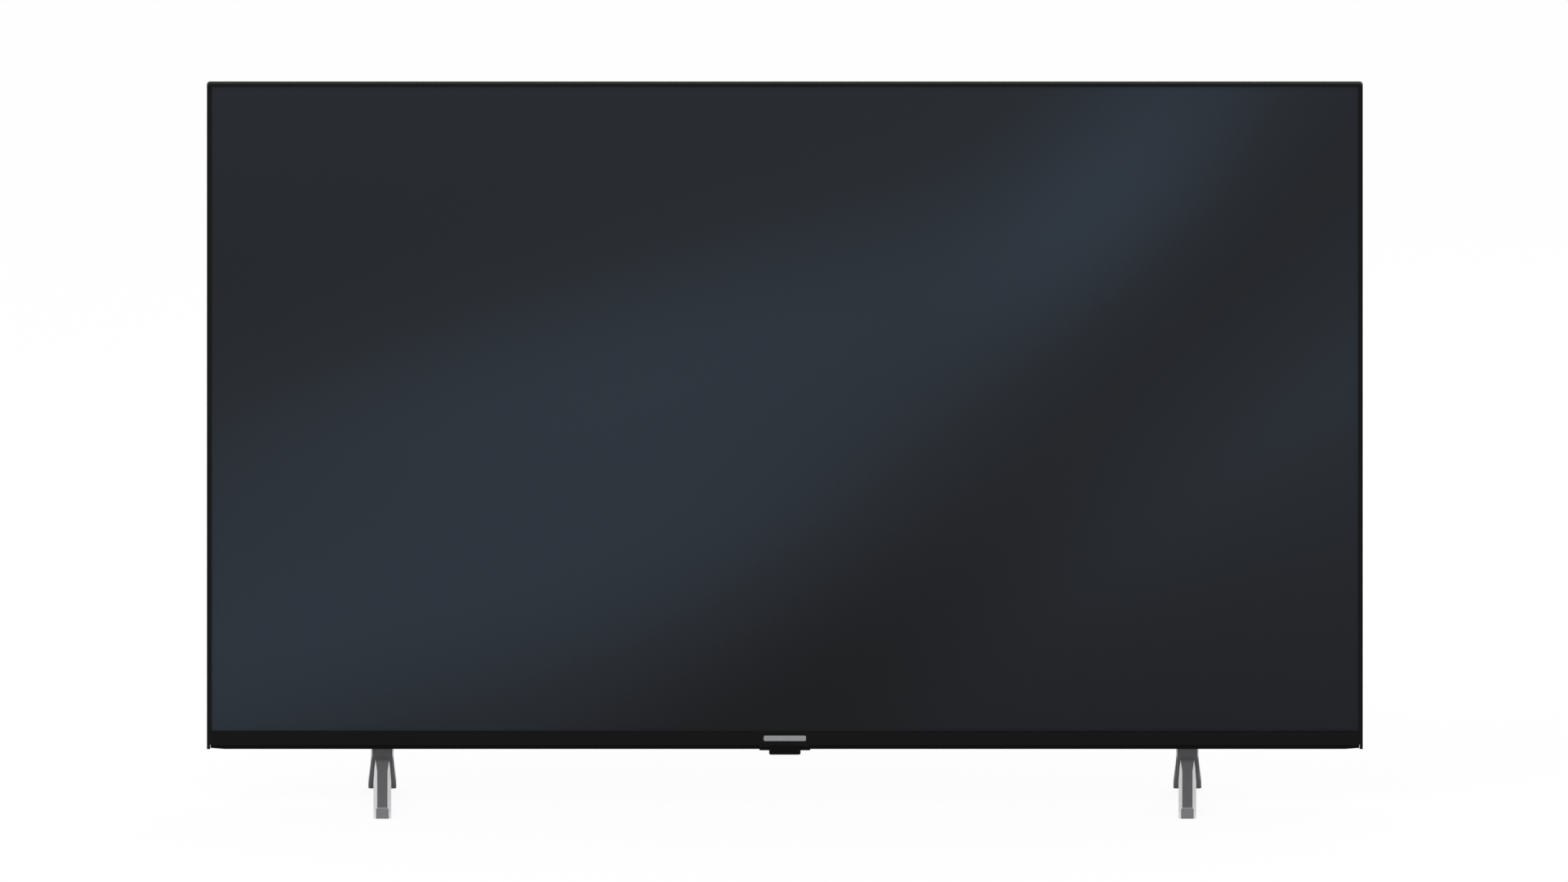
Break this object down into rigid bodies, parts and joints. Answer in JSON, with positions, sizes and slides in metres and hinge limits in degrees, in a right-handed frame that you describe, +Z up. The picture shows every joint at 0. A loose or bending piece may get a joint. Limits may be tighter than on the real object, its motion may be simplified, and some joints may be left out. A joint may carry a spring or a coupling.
{
  "type": "flat screen television",
  "caption": "Large thin-bezel flat screen television on splayed feet, with a wall mounting pattern, port bays and a joystick key under the chin.",
  "frame": {"origin": "middle of the footprint on the floor, between the tips of the two feet", "axes": "+X along the screen's width to the right, +Y from the screen to the back, +Z up"},
  "size_m": [1.232, 0.242, 0.776],
  "materials": {
    "black_plastic": "fine satin moulded plastic",
    "chin_plastic": "brushed-look dark satin plastic",
    "rail_plastic": "dark satin plastic",
    "cover_plastic": "finely textured black plastic",
    "foot_metal": "dark silver satin paint on cast metal",
    "screen_glass": "anti-glare front of the liquid crystal cell",
    "plate_metal": "satin, plain",
    "smoked_plastic": "smoked infrared window",
    "steel": "zinc plated sheet",
    "screw_steel": "black zinc",
    "aluminium": "extruded",
    "rubber": "soft black rubber",
    "frame_plastic": "moulded black plastic",
    "white_film": "white reflector and diffuser plastic",
    "clear_plastic": "clear moulded plastic",
    "board": "green solder mask",
    "amber_film": "polyimide film",
    "component": "epoxy moulding",
    "capacitor": "sleeved aluminium can",
    "ferrite": "sintered ferrite",
    "brass": "plated contact",
    "cone_paper": "pressed paper",
    "wire": "insulated wire",
    "ribbon": "flat flexible cable",
    "plug_plastic": "cream nylon"
  },
  "bodies": {
    "set": {"bezel_top": "black_plastic", "bezel_left": "black_plastic", "bezel_right": "black_plastic", "corner_keys": "steel", "bottom_trim": "chin_plastic", "nameplate": "plate_metal", "bottom_rail": "rail_plastic", "panel_gasket": "rubber", "lcd_panel": "screen_glass", "middle_frame": "frame_plastic", "optical_films": "white_film", "diffuser_plate": "white_film", "back_tray": "steel", "led_bars": "aluminium", "reflector_sheet": "white_film", "led_lenses": "clear_plastic", "diffuser_supports": "clear_plastic", "source_boards": "board", "cof_films": "amber_film", "rear_cover": "cover_plastic", "rear_cover_screws": "screw_steel", "mounting_inserts": "steel", "circuit_boards": "board", "board_screws": "steel", "transformers": "ferrite", "capacitors": "capacitor", "heatsinks": "aluminium", "board_chips": "component", "tuner_can": "steel", "side_sockets": "steel", "card_slot": "component", "lan_port": "steel", "audio_sockets": "component", "aerial_sockets": "steel", "mains_inlet": "component", "inlet_pins": "brass", "wireless_module": "board", "speaker_boxes": "frame_plastic", "speaker_surround_left": "rubber", "speaker_surround_right": "rubber", "speaker_frames": "steel", "speaker_magnets": "ferrite", "receiver_tab": "smoked_plastic", "receiver_housing": "black_plastic", "receiver_lamps": "clear_plastic", "stick_housing": "steel", "control_boards": "board", "foot_left": "foot_metal", "foot_right": "foot_metal", "foot_pads": "rubber", "foot_brackets": "steel", "foot_screws": "screw_steel", "wire_fittings": "plug_plastic", "panel_ribbon": "ribbon", "wiring": "wire"},
    "stick_gimbal": {"stick_gimbal": "steel"},
    "stick_shaft": {"stick_shaft": "component"},
    "stick_cap": {"stick_cap": "black_plastic"},
    "speaker_cone_left": {"speaker_cone_left": "cone_paper"},
    "speaker_cone_right": {"speaker_cone_right": "cone_paper"}
  },
  "joints": [
    {"name": "stick_forward_tilt", "type": "hinge", "parent": "set", "child": "stick_gimbal", "pos_m": [0, 0.0015, 0.071], "axis": [1, 0, 0], "range_deg": [-8, 8], "stiffness_Nm_per_rad": 0.2},
    {"name": "stick_side_tilt", "type": "hinge", "parent": "stick_gimbal", "child": "stick_shaft", "pos_m": [0, 0.0015, 0.071], "axis": [0, 1, 0], "range_deg": [-8, 8], "stiffness_Nm_per_rad": 0.2},
    {"name": "stick_press", "type": "slide", "parent": "stick_shaft", "child": "stick_cap", "axis": [0, 0, 1], "range_m": [0, 0.0006], "stiffness_N_per_m": 2500, "springref_m": -0.0001},
    {"name": "speaker_left", "type": "slide", "parent": "set", "child": "speaker_cone_left", "axis": [0, 0, 1], "range_m": [-0.001, 0.001], "stiffness_N_per_m": 1500, "deforming": ["speaker_surround_left"]},
    {"name": "speaker_right", "type": "slide", "parent": "set", "child": "speaker_cone_right", "axis": [0, 0, 1], "range_m": [-0.001, 0.001], "stiffness_N_per_m": 1500, "deforming": ["speaker_surround_right"]}
  ]
}
